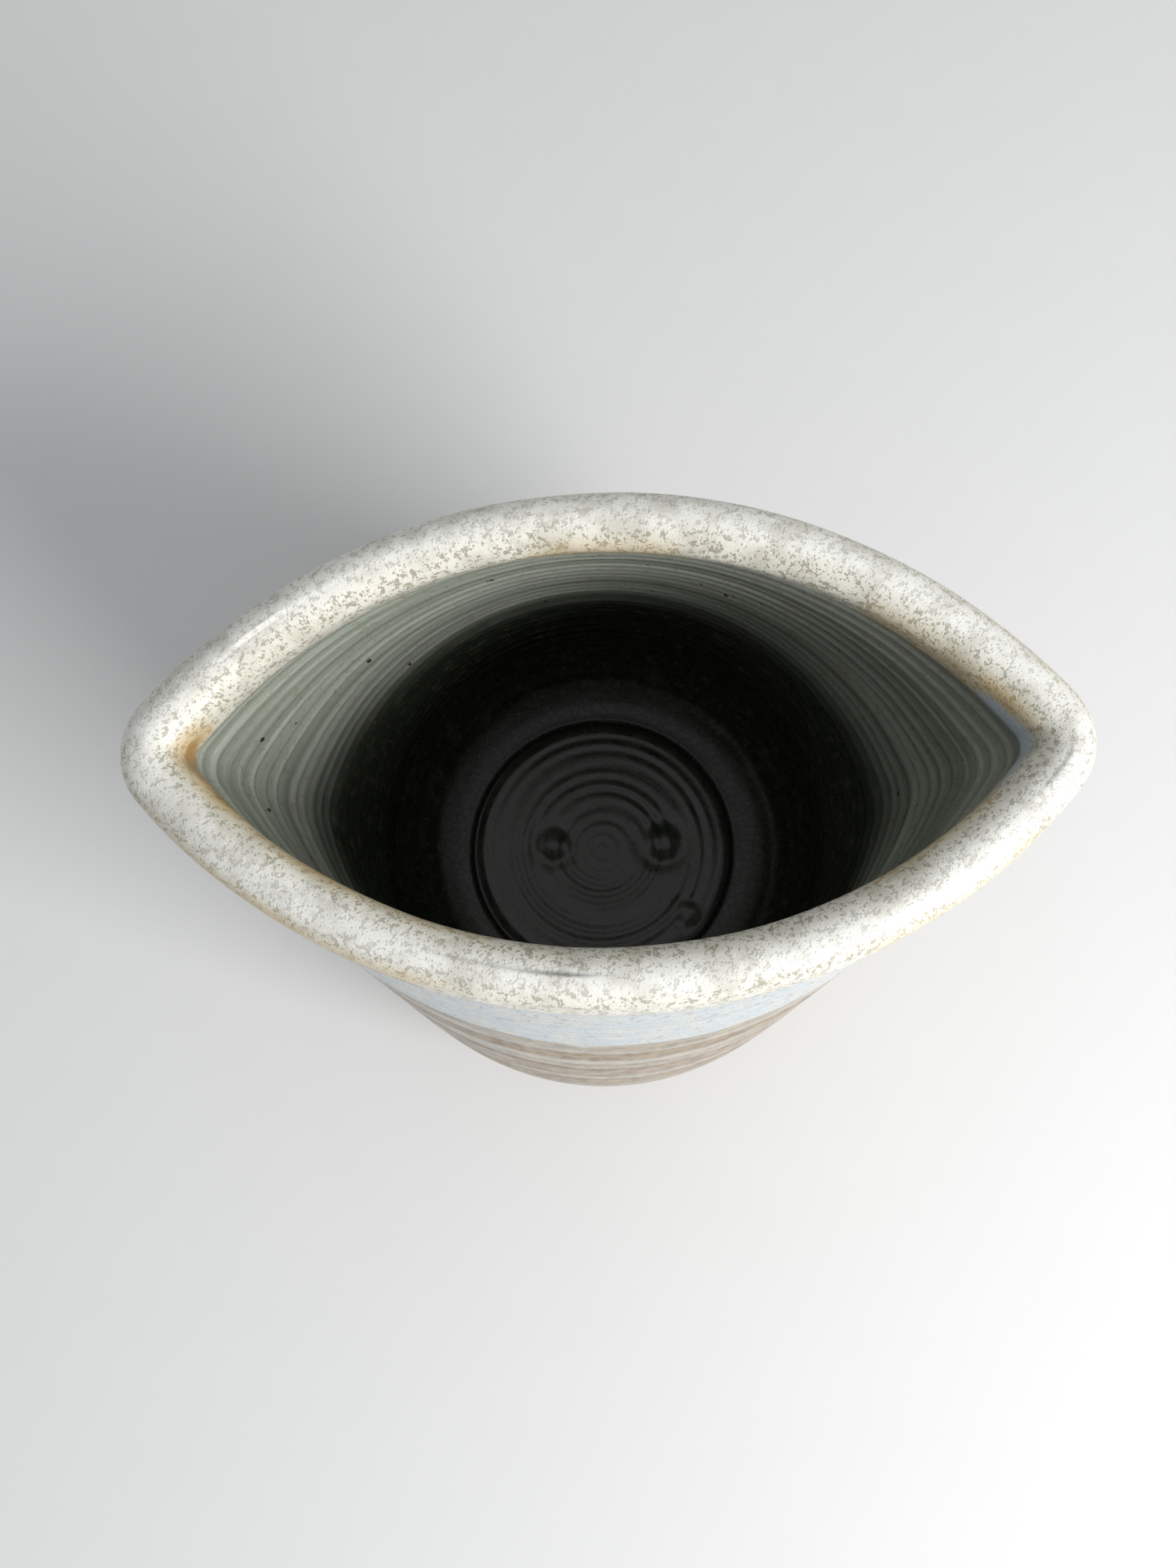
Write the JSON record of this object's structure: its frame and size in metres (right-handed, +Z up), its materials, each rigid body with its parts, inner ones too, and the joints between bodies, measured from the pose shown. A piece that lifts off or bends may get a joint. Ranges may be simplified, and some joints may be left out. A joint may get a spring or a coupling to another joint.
{
  "type": "ceramic vase",
  "caption": "Wheel-thrown ceramic vase, round below and squeezed above into an almond-shaped mouth with a thick rolled lip.",
  "frame": {"origin": "centre of the foot, on the surface that the vase stands on", "axes": "+Z up, +X along the mouth's long axis"},
  "size_m": [0.15, 0.1112, 0.138],
  "materials": {
    "wall_glaze": "satin glaze, pale above and tan below, dark green low inside",
    "lip_glaze": "cream glaze with fine speckles and a tan edge",
    "inner_glaze": "dark green glaze",
    "bare_clay": "unglazed"
  },
  "bodies": {
    "root": {"thrown_wall": "wall_glaze", "rolled_lip": "lip_glaze", "floor_disc": "inner_glaze", "foot_ring": "bare_clay"}
  },
  "joints": []
}
